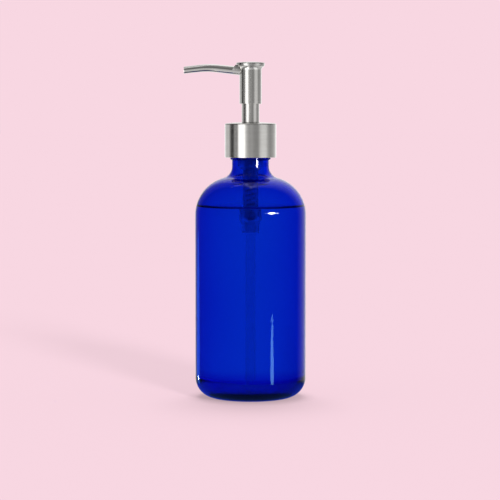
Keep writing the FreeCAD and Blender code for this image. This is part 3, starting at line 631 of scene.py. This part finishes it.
class Nodes:
    """The node tree of a material or of the world, with short ways to add and join nodes."""

    def __init__(self, block, output):
        self.block = block
        block.use_nodes = True
        self.tree = block.node_tree
        self.tree.nodes.clear()
        self.output = self.add(output)

    def add(self, kind, **settings):
        node = self.tree.nodes.new("ShaderNode" + kind)
        for key, value in settings.items():
            setattr(node, key, value)
        return node

    def join(self, source, target):
        self.tree.links.new(source, target)

    def maths(self, operation, first, second):
        node = self.add("Math", operation=operation)
        for socket, value in zip(node.inputs, (first, second)):
            if isinstance(value, (int, float)):
                socket.default_value = value
            else:
                self.join(value, socket)
        return node.outputs[0]

    def place(self):
        return self.add("TexCoord").outputs["Object"]

    def stretched(self, scale):
        mapping = self.add("Mapping")
        mapping.inputs["Scale"].default_value = scale
        self.join(self.place(), mapping.inputs["Vector"])
        return mapping.outputs["Vector"]

    def noise(self, vector, scale, detail):
        node = self.add("TexNoise")
        node.inputs["Scale"].default_value = scale
        node.inputs["Detail"].default_value = detail
        self.join(vector, node.inputs["Vector"])
        return node.outputs["Fac"]

    def ramp(self, factor, low, high):
        """A value that goes from low to high over the middle of the factor's range, where noise lies."""
        node = self.add("MapRange")
        node.inputs["From Min"].default_value = 0.3
        node.inputs["From Max"].default_value = 0.7
        node.inputs["To Min"].default_value = low
        node.inputs["To Max"].default_value = high
        self.join(factor, node.inputs["Value"])
        return node.outputs["Result"]

    def tones(self, factor, stops):
        """A tone that goes through the given (position from 0 to 1, tone) stops."""
        node = self.add("ValToRGB")
        self.join(factor, node.inputs[0])
        elements = node.color_ramp.elements
        while len(elements) < len(stops):
            elements.new(0.5)
        for element, (position, tone) in zip(elements, stops):
            value = tone / BRIGHTEST
            element.position = position
            element.color = (value, value, value, 1)
        return self.maths("MULTIPLY", node.outputs[0], BRIGHTEST)

    def tones_around(self, direction, stops):
        """A tone for each azimuth of a direction, from (azimuth in degrees, tone) stops."""
        split = self.add("SeparateXYZ")
        self.join(direction, split.inputs[0])
        x, y, _ = split.outputs
        azimuth = self.maths("ARCTAN2", x, self.maths("MULTIPLY", y, -1))
        share = self.maths("ADD", self.maths("DIVIDE", azimuth, 2 * math.pi), 0.5)
        return self.tones(share, [((degrees + 180) / 360, tone) for degrees, tone in stops])

    def tones_upward(self, direction, stops):
        """A tone for each height of a direction, from (height from -1 to 1, tone) stops."""
        split = self.add("SeparateXYZ")
        self.join(direction, split.inputs[0])
        share = self.maths("ADD", self.maths("MULTIPLY", split.outputs[2], 0.5), 0.5)
        return self.tones(share, [((height + 1) / 2, tone) for height, tone in stops])

    def blend(self, factor, first, second):
        """A colour between two colours."""
        node = self.add("Mix", data_type="RGBA")
        self.join(factor, node.inputs["Factor"])
        node.inputs["A"].default_value = (*first, 1)
        node.inputs["B"].default_value = (*second, 1)
        return node.outputs["Result"]

    def bump(self, height, strength, distance):
        node = self.add("Bump")
        node.inputs["Strength"].default_value = strength
        node.inputs["Distance"].default_value = distance
        self.join(height, node.inputs["Height"])
        return node.outputs["Normal"]

    def principled(self, **values):
        node = self.add("BsdfPrincipled")
        for key, value in values.items():
            socket = node.inputs[key.replace("_", " ")]
            if isinstance(value, bpy.types.NodeSocket):
                self.join(value, socket)
            else:
                socket.default_value = value
        self.join(node.outputs[0], self.output.inputs["Surface"])


def new_material(name):
    """The empty node tree of a new material."""
    return Nodes(bpy.data.materials.new(name), "OutputMaterial")


def blue_glass():
    """Cobalt glass: its colour comes from what it takes from the light along the way through it."""
    s = new_material("blue_glass")
    broad = s.noise(s.place(), 90, 1.0)
    fine = s.noise(s.place(), 420, 1.0)
    uneven = s.maths("ADD", broad, s.maths("MULTIPLY", fine, 0.15))
    s.principled(
        Base_Color=(0.98, 0.99, 1, 1),
        Roughness=0.0,
        IOR=1.52,
        Transmission_Weight=1.0,
        Normal=s.bump(uneven, 0.12, 0.0006),
    )
    absorption = s.add("VolumeAbsorption")
    absorption.inputs["Color"].default_value = (0, 0.612, 0.957, 1)
    absorption.inputs["Density"].default_value = 1600
    s.join(absorption.outputs[0], s.output.inputs["Volume"])
    return s.block


def liquid_soap():
    """Clear liquid with the faintest unevenness."""
    s = new_material("liquid_soap")
    slow = s.noise(s.place(), 60, 0.0)
    s.principled(
        Base_Color=s.blend(s.ramp(slow, 0, 1), (0.97, 0.98, 1), (1, 1, 1)),
        Roughness=0.0,
        IOR=1.43,
        Transmission_Weight=1.0,
    )
    return s.block


def steel(name, roughness, along_x):
    """Brushed stainless steel. Turned pieces are brushed around the axis, the spout along it."""
    s = new_material(name)
    fine, long = 5200, 60
    if along_x:
        lines = s.stretched((long, fine, fine))
        slow = s.stretched((40, 300, 300))
    else:
        split = s.add("SeparateXYZ")
        s.join(s.place(), split.inputs[0])
        x, y, z = split.outputs
        flat = s.add("CombineXYZ")
        s.join(x, flat.inputs[0])
        s.join(y, flat.inputs[1])
        length = s.add("VectorMath", operation="LENGTH")
        s.join(flat.outputs[0], length.inputs[0])
        radius = length.outputs["Value"]
        line = s.add("CombineXYZ")
        around = s.maths("ADD", x, s.maths("MULTIPLY", y, 0.7))
        s.join(s.maths("MULTIPLY", radius, fine), line.inputs[0])
        s.join(s.maths("MULTIPLY", z, fine), line.inputs[1])
        s.join(s.maths("MULTIPLY", around, long), line.inputs[2])
        lines = line.outputs[0]
        slow = s.stretched((70, 70, 260))
    scratches = s.noise(lines, 1.0, 2.0)
    patches = s.noise(slow, 1.0, 1.0)
    tangent = s.add("Tangent", direction_type="RADIAL", axis="X" if along_x else "Z")
    uneven = s.maths("ADD", s.ramp(patches, roughness, roughness + 0.05), s.ramp(scratches, 0.0, 0.05))
    s.principled(
        Base_Color=s.blend(s.ramp(scratches, 0, 1), (0.60, 0.585, 0.56), (0.70, 0.69, 0.67)),
        Metallic=1.0,
        Roughness=uneven,
        Anisotropic=0.2 if along_x else 0.75,
        Anisotropic_Rotation=0.0 if along_x else 0.25,
        Tangent=tangent.outputs[0],
        Normal=s.bump(scratches, 0.25, 0.00001),
    )
    return s.block


def plain_steel(name, tone, roughness):
    """Drawn wire or a ground ball: metal with fine marks."""
    s = new_material(name)
    marks = s.noise(s.stretched((900, 900, 2600)), 1.0, 3.0)
    s.principled(
        Base_Color=s.blend(s.ramp(marks, 0, 1), tuple(0.85 * t for t in tone), tone),
        Metallic=1.0,
        Roughness=s.ramp(marks, roughness, roughness + 0.12),
        Normal=s.bump(marks, 0.2, 0.00002),
    )
    return s.block


def plastic(name, dark, light, roughness):
    """Moulded plastic with a faint grain."""
    s = new_material(name)
    grain = s.noise(s.place(), 2600, 3.0)
    slow = s.noise(s.place(), 140, 2.0)
    s.principled(
        Base_Color=s.blend(s.ramp(slow, 0, 1), dark, light),
        Roughness=s.ramp(grain, roughness, roughness + 0.1),
        IOR=1.5,
        Normal=s.bump(grain, 0.15, 0.00003),
    )
    return s.block


def milky_plastic(name, dark, light, clear, roughness):
    """Natural plastic that lets some light through. Its index is the one against the liquid around it."""
    s = new_material(name)
    grain = s.noise(s.place(), 1800, 2.0)
    slow = s.noise(s.place(), 160, 2.0)
    s.principled(
        Base_Color=s.blend(s.ramp(slow, 0, 1), dark, light),
        Roughness=s.ramp(grain, roughness, roughness + 0.08),
        IOR=1.15,
        Transmission_Weight=clear,
        Normal=s.bump(grain, 0.1, 0.00003),
    )
    return s.block


def foam():
    """Closed-cell foam of the gasket."""
    s = new_material("gasket_foam")
    cells = s.add("TexVoronoi")
    cells.inputs["Scale"].default_value = 2400
    s.join(s.place(), cells.inputs["Vector"])
    s.principled(
        Base_Color=s.blend(cells.outputs["Distance"], (0.74, 0.74, 0.72), (0.88, 0.88, 0.86)),
        Roughness=0.8,
        Normal=s.bump(cells.outputs["Distance"], 0.5, 0.00008),
    )
    return s.block


def make_materials():
    """The record's material slots, each with its look."""
    housing = (0.88, 0.89, 0.90), (0.95, 0.95, 0.96)
    tube = (0.92, 0.93, 0.94), (0.98, 0.99, 0.99)
    return {
        "blue_glass": blue_glass(),
        "liquid_soap": liquid_soap(),
        "gasket_foam": foam(),
        "natural_plastic": milky_plastic("natural_plastic", *housing, clear=0.93, roughness=0.65),
        "tube_plastic": milky_plastic("tube_plastic", *tube, clear=0.98, roughness=0.12),
        "white_plastic": plastic("white_plastic", (0.72, 0.72, 0.70), (0.80, 0.80, 0.78), 0.35),
        "seal_plastic": plastic("seal_plastic", (0.62, 0.64, 0.66), (0.74, 0.75, 0.76), 0.4),
        "brushed_steel": steel("brushed_steel", 0.17, along_x=False),
        "spring_steel": plain_steel("spring_steel", (0.56, 0.55, 0.53), 0.22),
        "ball_steel": plain_steel("ball_steel", (0.66, 0.66, 0.65), 0.06),
    }


def dress(pieces, materials):
    """Give every new piece, and every CAD node, the material of its slot."""
    for piece in pieces:
        piece.data.materials.clear()
        piece.data.materials.append(materials[piece["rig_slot"]])
    for part in frame["record"]["subparts"]:
        node = frame["nodes"][part["node"]]
        for place in node.material_slots:
            place.material = materials[part["material_slot"]]


# ---------------------------------------------------------------- the studio

def make_world():
    """Pink to the eye and through the glass. What the glass mirrors is darker, as with black screens."""
    world = bpy.data.worlds.new("studio")
    bpy.context.scene.world = world
    world.cycles.sampling_method = "NONE"
    s = Nodes(world, "OutputWorld")
    way = s.add("TexCoord").outputs["Generated"]
    path = s.add("LightPath")

    def choose(question, otherwise, chosen):
        mix = s.add("Mix", data_type="RGBA")
        s.join(question, mix.inputs["Factor"])
        for socket, value in ((mix.inputs["A"], otherwise), (mix.inputs["B"], chosen)):
            if isinstance(value, tuple):
                socket.default_value = value
            else:
                s.join(value, socket)
        return mix.outputs["Result"]

    behind = s.add("VectorMath", operation="SCALE")
    behind.inputs[0].default_value = PINK
    s.join(s.tones_around(way, BEHIND_AROUND), behind.inputs["Scale"])
    level = s.tones_upward(way, ((-1.0, 0.0), (-0.24, 0.0), (-0.14, 1.0), (1.0, 1.0)))
    below = choose(path.outputs["Is Singular Ray"], (*DARK, 1), (*UNDER_BOTTLE, 1))
    mirrored = choose(level, below, s.tones_around(way, ROOM_AROUND))
    light = choose(path.outputs["Is Diffuse Ray"], mirrored, (*SOFT_LIGHT, 1))
    light = choose(path.outputs["Is Transmission Ray"], light, behind.outputs["Vector"])
    light = choose(path.outputs["Is Camera Ray"], light, (*PINK, 1))
    studio = s.add("Background")
    s.join(light, studio.inputs["Color"])
    s.join(studio.outputs[0], s.output.inputs["Surface"])


def shown_only_to(thing, *rays):
    """Hide an object from every kind of ray but the given ones."""
    for kind in ("camera", "diffuse", "glossy", "transmission", "volume_scatter", "shadow"):
        setattr(thing, "visible_" + kind, kind in rays)


def make_tent(receivers):
    """A light tent around the pump that only its steel mirrors, with bright and dark panels."""
    mesh = bpy.data.meshes.new("light_tent")
    build = bmesh.new()
    bmesh.ops.create_icosphere(build, subdivisions=5, radius=3)
    build.to_mesh(mesh)
    build.free()
    tent = bpy.data.objects.new("light_tent", mesh)
    bpy.context.scene.collection.objects.link(tent)
    tent.location = (0, 0, 0.17)
    s = new_material("light_tent")
    way = s.add("VectorMath", operation="NORMALIZE")
    s.join(s.place(), way.inputs[0])
    way = way.outputs[0]
    tone = s.maths("MULTIPLY", s.tones_around(way, TENT_AROUND), s.tones_upward(way, TENT_UPWARD))
    panel = s.add("Emission")
    s.join(tone, panel.inputs["Strength"])
    clear = s.add("BsdfTransparent")
    both = s.add("AddShader")
    s.join(panel.outputs[0], both.inputs[0])
    s.join(clear.outputs[0], both.inputs[1])
    s.join(both.outputs[0], s.output.inputs["Surface"])
    s.block.cycles.emission_sampling = "NONE"
    mesh.materials.append(s.block)
    shown_only_to(tent, "glossy")
    tent.light_linking.receiver_collection = receivers


def make_floor():
    """Pale pink floor that meets the backdrop without a line. Where the bottle stands it darkens softly:
    partly real shadow from the suns, partly painted contact shade that dims its glow by ambient occlusion.
    """
    half = 40.0
    contact_shade = 0.25
    corners = [(-half, -half, 0), (half, -half, 0), (half, half, 0), (-half, half, 0)]
    mesh = bpy.data.meshes.new("floor")
    mesh.from_pydata(corners, [], [(0, 1, 2, 3)])
    floor = bpy.data.objects.new("floor", mesh)
    bpy.context.scene.collection.objects.link(floor)
    s = new_material("floor_paint")
    # painted contact shade: ambient occlusion near the bottle dims the floor's glow
    nearness = s.add("AmbientOcclusion", samples=8)
    nearness.inputs["Distance"].default_value = 0.012
    shade = s.maths("ADD", 1 - contact_shade, s.maths("MULTIPLY", nearness.outputs["AO"], contact_shade))
    grain = s.noise(s.place(), 6, 2.0)
    tone = s.ramp(grain, 0.998, 1.002)
    glow = s.add("Emission")
    glow.inputs["Color"].default_value = (*PINK, 1)
    s.join(s.maths("MULTIPLY", s.maths("MULTIPLY", shade, tone), FLOOR_GLOW), glow.inputs["Strength"])
    paint = s.add("BsdfDiffuse")
    paint.inputs["Color"].default_value = (*(FLOOR_PAINT * c for c in PINK), 1)
    both = s.add("AddShader")
    s.join(glow.outputs[0], both.inputs[0])
    s.join(paint.outputs[0], both.inputs[1])
    s.join(both.outputs[0], s.output.inputs["Surface"])
    mesh.materials.append(s.block)
    shown_only_to(floor, "camera", "diffuse", "transmission")
    return floor


def group(name, objects):
    """A collection for light linking, outside the scene."""
    made = bpy.data.collections.new(name)
    for thing in objects:
        made.objects.link(thing)
    return made


def add_light(name, data, azimuth, elevation, distance, receivers):
    """Put a light at a direction from the bottle's upper half, facing it, for some objects only."""
    light = bpy.data.objects.new(name, data)
    bpy.context.scene.collection.objects.link(light)
    turn = math.radians(azimuth)
    lift = math.radians(elevation)
    way = Vector((
        math.sin(turn) * math.cos(lift),
        -math.cos(turn) * math.cos(lift),
        math.sin(lift),
    ))
    light.location = Vector((0, 0, LAMP_AIM)) + way * distance
    light.rotation_euler = way.to_track_quat("Z", "Y").to_euler()
    light.visible_camera = False
    light.visible_transmission = False
    light.light_linking.receiver_collection = receivers


def area_light(name, shape, size, colour, watts, azimuth, elevation, receivers, distance=LAMP_DISTANCE):
    """A soft lamp of a given shape, width and height."""
    data = bpy.data.lights.new(name, "AREA")
    data.color = colour
    data.shape = shape
    data.size, data.size_y = size
    data.energy = watts
    add_light(name, data, azimuth, elevation, distance, receivers)


def sun_light(name, strength, spread, azimuth, elevation, receivers):
    """Parallel light whose source spans an angle in degrees."""
    data = bpy.data.lights.new(name, "SUN")
    data.energy = strength
    data.angle = math.radians(spread)
    add_light(name, data, azimuth, elevation, LAMP_DISTANCE, receivers)


def make_lights(floor, metal, glass):
    """A tent for the metal, windows, bounces and glints for the glass, and two suns for the floor."""
    make_tent(group("lit_metal", metal))
    white = (1, 1, 1)
    shiny = group("lit_glass", glass)
    area_light("window_bar", "ELLIPSE", (0.70, 0.045), white, 1.7, 45, 6.8, shiny)
    area_light("window_light", "ELLIPSE", (0.32, 0.15), white, 2.5, 45, 6.8, shiny)
    area_light("near_strip", "RECTANGLE", (0.057, 0.0068), white, 0.0365, 42, 4.0, shiny, distance=0.2)
    area_light("blue_bounce", "ELLIPSE", (0.34, 0.36), (0.01, 0.16, 1), 0.42, -139, -13, shiny)
    area_light("left_glint", "ELLIPSE", (0.05, 0.025), (0.8, 0.9, 1), 0.12, -139, -14, shiny)
    area_light("window_mirrored", "ELLIPSE", (0.15, 0.19), (0.26, 0.66, 1), 0.38, 45, -14, shiny)
    ground = group("lit_floor", [floor])
    sun_light("low_sun", 6.5, 11, 25, 21, ground)
    sun_light("back_sky", 6.0, 30, 180, 72, ground)


def make_camera():
    """A long lens a little above the bottle's shoulder, looking slightly down."""
    data = bpy.data.cameras.new("camera")
    data.angle = math.radians(15.18)
    camera = bpy.data.objects.new("camera", data)
    bpy.context.scene.collection.objects.link(camera)
    aside = -0.00035
    camera.location = (aside, -1.27, 0.184)
    aim = Vector((aside, 0, 0.1001))
    camera.rotation_euler = (aim - camera.location).to_track_quat("-Z", "Y").to_euler()
    bpy.context.scene.camera = camera


def set_rendering():
    """Enough bounces for light to pass through glass, liquid and plastic."""
    scene = bpy.context.scene
    scene.view_settings.view_transform = "Standard"
    scene.cycles.max_bounces = 32
    scene.cycles.transmission_bounces = 32
    scene.cycles.glossy_bounces = 8
    scene.cycles.diffuse_bounces = 4
    scene.cycles.caustics_reflective = True
    scene.cycles.caustics_refractive = True
    scene.cycles.sample_clamp_indirect = 4
    scene.cycles.use_denoising = True


def main():
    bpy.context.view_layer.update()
    materials = make_materials()
    bottle = make_bottle()
    soap = make_soap()
    metal = [make_collar(), make_sleeve(), make_head(), make_cap(), make_saddle()]
    spout = make_spout()
    spring = make_spring()
    dress([bottle, soap, *metal, spout, spring], materials)
    spout.data.materials[0] = steel("brushed_steel_spout", 0.06, along_x=True)
    make_world()
    floor = make_floor()
    make_lights(floor, [*metal, spout], [bottle])
    make_camera()
    set_rendering()


main()
